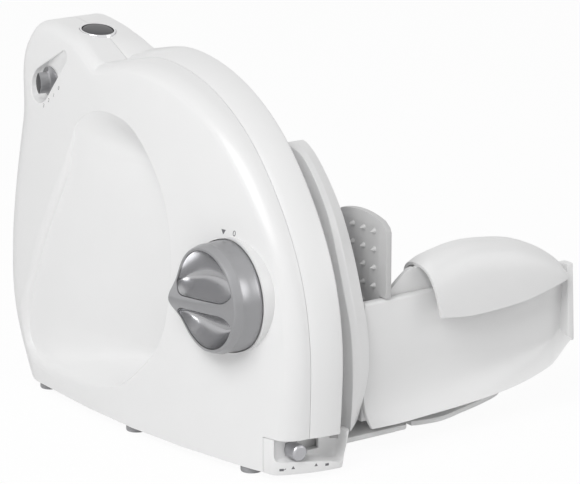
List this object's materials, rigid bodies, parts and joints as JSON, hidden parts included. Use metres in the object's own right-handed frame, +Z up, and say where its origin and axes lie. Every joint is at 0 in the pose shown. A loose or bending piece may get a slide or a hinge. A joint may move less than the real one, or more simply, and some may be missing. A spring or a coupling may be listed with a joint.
{
  "type": "food slicer",
  "caption": "Household electric food slicer with a round serrated blade, adjustable stop plate, sliding carriage and food holder.",
  "frame": {"origin": "centre of the bounding box in plan, at the height of the surface that the feet rest on", "axes": "+X from the motor side to the carriage side, +Y from the knob end to the rear, +Z up"},
  "size_m": [0.257, 0.2946, 0.2313],
  "materials": {
    "white_plastic": "satin",
    "grey_plastic": "satin",
    "rubber": "matt",
    "dark_plastic": "satin",
    "satin_silver": "satin metallised",
    "polished_silver": "polished",
    "chrome": "polished",
    "steel": "turned",
    "blade_steel": "ground",
    "copper": "wound wire",
    "brass": "turned",
    "board_green": "coated"
  },
  "bodies": {
    "housing": {"housing_left_shell": "white_plastic", "housing_right_shell": "white_plastic", "base_frame": "white_plastic", "carriage_deck": "white_plastic", "foot_front_left": "rubber", "foot_middle_left": "rubber", "foot_rear_left": "rubber", "foot_rear_right": "rubber", "foot_deck_front": "rubber", "foot_deck_rear": "rubber", "foot_wing": "rubber", "base_screw_left_front": "steel", "base_screw_left_rear": "steel", "base_screw_right_rear": "steel", "shell_screw_top": "steel", "shell_screw_rear": "steel", "blade_guard": "white_plastic", "motor_can": "steel", "motor_end_cap": "dark_plastic", "motor_stator": "steel", "motor_brush_left": "dark_plastic", "motor_brush_right": "dark_plastic", "gear_bracket": "steel", "worm_bush_front": "brass", "worm_bush_rear": "brass", "shaft_bush": "brass", "control_board": "board_green", "speed_switch_block": "dark_plastic", "safety_switch": "dark_plastic", "button_ring": "chrome", "button_spring": "steel", "cable_bush": "rubber"},
    "stop_plate": {"stop_plate": "white_plastic", "stop_carrier_tube": "steel", "guide_rod_upper": "steel", "guide_rod_lower": "steel"},
    "knob": {"knob_body": "satin_silver", "knob_insert_upper": "polished_silver", "knob_insert_lower": "polished_silver", "knob_shaft": "steel", "thickness_cam": "dark_plastic"},
    "blade": {"blade": "blade_steel", "blade_carrier": "dark_plastic", "blade_lock_cap": "steel", "blade_shaft": "steel", "worm_wheel": "brass"},
    "motor_rotor": {"motor_rotor": "copper", "motor_shaft": "steel", "worm": "steel", "motor_commutator": "copper", "cooling_fan": "dark_plastic"},
    "speed_switch": {"speed_switch": "satin_silver"},
    "safety_button": {"safety_button": "dark_plastic"},
    "lock": {"lock_pin": "steel", "lock_bar": "dark_plastic"},
    "carriage": {"carriage": "white_plastic"},
    "food_holder": {"hand_guard": "white_plastic", "holder_panel": "white_plastic", "spiked_plate": "grey_plastic"}
  },
  "joints": [
    {"name": "knob_turn", "type": "hinge", "parent": "housing", "child": "knob", "pos_m": [-0.122, -0.09257, 0.1045], "axis": [1, 0, 0], "range_deg": [0, 300]},
    {"name": "stop_plate_slide", "type": "slide", "parent": "housing", "child": "stop_plate", "axis": [-1, 0, 0], "range_m": [0, 0.015]},
    {"name": "blade_spin", "type": "hinge", "parent": "housing", "child": "blade", "pos_m": [-0.0305, -0.00107, 0.098], "axis": [1, 0, 0], "continuous": true},
    {"name": "motor_spin", "type": "hinge", "parent": "housing", "child": "motor_rotor", "pos_m": [-0.0825, -0.00107, 0.133], "axis": [0, 1, 0], "continuous": true},
    {"name": "speed_switch_turn", "type": "hinge", "parent": "housing", "child": "speed_switch", "pos_m": [-0.105, 0.10993, 0.194], "axis": [1, 0, 0], "range_deg": [-84, 0]},
    {"name": "safety_button_press", "type": "slide", "parent": "housing", "child": "safety_button", "axis": [0, 0, -1], "range_m": [0, 0.004], "stiffness_N_per_m": 400, "springref_m": -0.003, "deforming": ["button_spring"]},
    {"name": "lock_slide", "type": "slide", "parent": "housing", "child": "lock", "axis": [1, 0, 0], "range_m": [0, 0.016]},
    {"name": "carriage_slide", "type": "slide", "parent": "housing", "child": "carriage", "axis": [0, 1, 0], "range_m": [-0.07, 0.1]},
    {"name": "food_holder_slide", "type": "slide", "parent": "carriage", "child": "food_holder", "axis": [1, 0, 0], "range_m": [-0.011, 0.06]}
  ],
  "couplings": [
    {"joint": "knob_turn", "follows": "stop_plate_slide", "rad_per_m": 349.07},
    {"joint": "motor_spin", "follows": "blade_spin", "ratio": -12}
  ]
}
